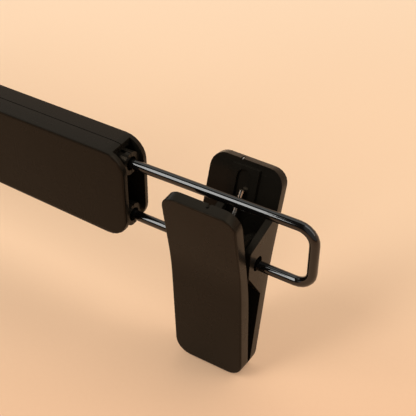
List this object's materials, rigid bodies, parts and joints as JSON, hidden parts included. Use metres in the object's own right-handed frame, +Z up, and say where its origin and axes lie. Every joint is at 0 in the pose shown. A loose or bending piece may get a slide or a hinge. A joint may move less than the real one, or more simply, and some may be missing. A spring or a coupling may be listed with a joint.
{
  "type": "trouser hanger",
  "caption": "Hollow plastic bar that hangs from a swivelling wire hook, with sprung lever clips sliding on wire loops at both ends to hold trousers or a skirt.",
  "frame": {"origin": "rail seat, the top of the inside of the hook", "axes": "+X along the bar, +Y away from the front face, +Z up"},
  "size_m": [0.3356, 0.033, 0.1646],
  "materials": {
    "black_plastic": "glossy moulded black",
    "black_wire": "gloss black coating on steel wire",
    "bright_steel": "bright drawn steel",
    "black_rubber": "matt black"
  },
  "bodies": {
    "hook": {"hook": "black_wire"},
    "bar": {"front_shell": "black_plastic", "rear_shell": "black_plastic", "right_wire_loop": "black_wire", "left_wire_loop": "black_wire", "hook_bush": "black_plastic", "hook_washer": "bright_steel"},
    "right_spring": {"right_spring": "bright_steel"},
    "right_front_lever": {"right_front_jaw": "black_plastic", "right_front_pad": "black_rubber"},
    "right_rear_lever": {"right_rear_jaw": "black_plastic", "right_rear_pad": "black_rubber"},
    "left_spring": {"left_spring": "bright_steel"},
    "left_front_lever": {"left_front_jaw": "black_plastic", "left_front_pad": "black_rubber"},
    "left_rear_lever": {"left_rear_jaw": "black_plastic", "left_rear_pad": "black_rubber"}
  },
  "joints": [
    {"name": "hook_swivel", "type": "hinge", "parent": "hook", "child": "bar", "pos_m": [0, 0, -0.06], "axis": [0, 0, 1], "continuous": true},
    {"name": "right_clip_slide", "type": "slide", "parent": "bar", "child": "right_spring", "axis": [1, 0, 0], "range_m": [-0.0185, 0.0129]},
    {"name": "right_clip_rock", "type": "hinge", "parent": "right_spring", "child": "right_front_lever", "pos_m": [0.1355, 0, -0.116], "axis": [-1, 0, 0], "range_deg": [-24.15, 15.85], "deforming": ["right_spring"]},
    {"name": "right_clip_open", "type": "hinge", "parent": "right_front_lever", "child": "right_rear_lever", "pos_m": [0.1355, 0, -0.116], "axis": [1, 0, 0], "range_deg": [0, 20], "stiffness_Nm_per_rad": 0.05, "springref_deg": -68.75, "deforming": ["right_spring"]},
    {"name": "left_clip_slide", "type": "slide", "parent": "bar", "child": "left_spring", "axis": [-1, 0, 0], "range_m": [-0.0185, 0.0129]},
    {"name": "left_clip_rock", "type": "hinge", "parent": "left_spring", "child": "left_front_lever", "pos_m": [-0.1355, 0, -0.116], "axis": [-1, 0, 0], "range_deg": [-24.15, 15.85], "deforming": ["left_spring"]},
    {"name": "left_clip_open", "type": "hinge", "parent": "left_front_lever", "child": "left_rear_lever", "pos_m": [-0.1355, 0, -0.116], "axis": [1, 0, 0], "range_deg": [0, 20], "stiffness_Nm_per_rad": 0.05, "springref_deg": -68.75, "deforming": ["left_spring"]}
  ]
}
